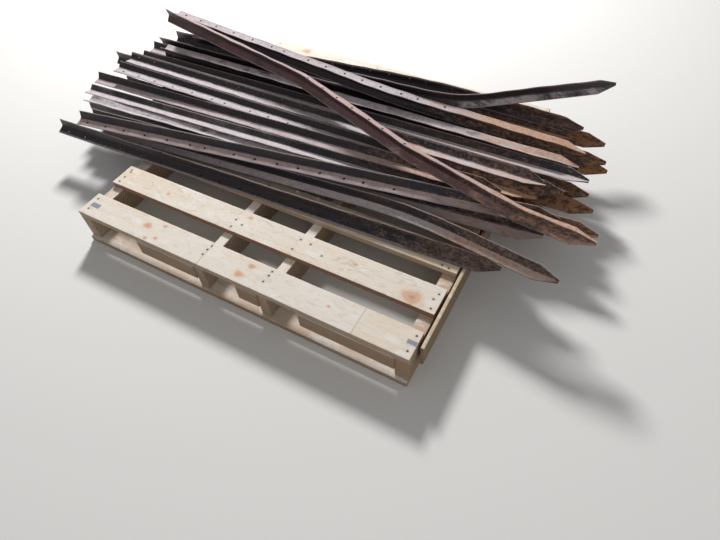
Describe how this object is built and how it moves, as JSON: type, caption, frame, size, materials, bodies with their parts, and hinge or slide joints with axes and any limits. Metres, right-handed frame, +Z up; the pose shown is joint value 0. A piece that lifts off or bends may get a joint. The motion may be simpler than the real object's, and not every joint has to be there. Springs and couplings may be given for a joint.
{
  "type": "pallet of star posts",
  "caption": "Softwood pallet carrying a loose pile of used steel star posts, Y section with tie holes, square heads one way and points the other.",
  "frame": {"origin": "on the floor under the middle of the pallet, at the middle of the centre lead board's underside", "axes": "+X along the deck boards and the posts towards their points, +Y across the pallet to the back, +Z up"},
  "size_m": [1.9352, 1.1743, 0.3453],
  "materials": {
    "coated_steel": "worn dark coating with brown rust",
    "deck_pine": "rough sawn, pale",
    "bearer_pine": "rough sawn, brown",
    "side_pine": "rough sawn, greyed"
  },
  "bodies": {
    "root": {"bearer_1": "bearer_pine", "bearer_2": "bearer_pine", "bearer_3": "bearer_pine", "bearer_4": "bearer_pine", "deck_board_1": "deck_pine", "deck_board_2": "deck_pine", "deck_board_3": "deck_pine", "deck_board_4": "deck_pine", "deck_board_5": "deck_pine", "deck_board_6": "deck_pine", "deck_board_7": "deck_pine", "deck_board_8": "deck_pine", "edge_board_left": "side_pine", "edge_board_middle": "side_pine", "edge_board_right": "side_pine", "lead_board_back": "bearer_pine", "lead_board_front": "bearer_pine", "lead_board_middle": "bearer_pine", "post_bent_back": "coated_steel", "post_bent_front": "coated_steel", "post_low_01": "coated_steel", "post_low_02": "coated_steel", "post_low_03": "coated_steel", "post_low_04": "coated_steel", "post_low_05": "coated_steel", "post_low_06": "coated_steel", "post_low_07": "coated_steel", "post_low_08": "coated_steel", "post_low_09": "coated_steel", "post_low_10": "coated_steel", "post_low_11": "coated_steel", "post_middle_01": "coated_steel", "post_middle_02": "coated_steel", "post_middle_03": "coated_steel", "post_middle_04": "coated_steel", "post_middle_05": "coated_steel", "post_middle_06": "coated_steel", "post_middle_07": "coated_steel", "post_middle_08": "coated_steel", "post_middle_09": "coated_steel", "post_middle_10": "coated_steel", "post_upper_01": "coated_steel", "post_upper_02": "coated_steel", "post_upper_03": "coated_steel", "post_upper_04": "coated_steel", "post_upper_05": "coated_steel", "post_upper_06": "coated_steel", "side_board": "side_pine"}
  },
  "joints": []
}
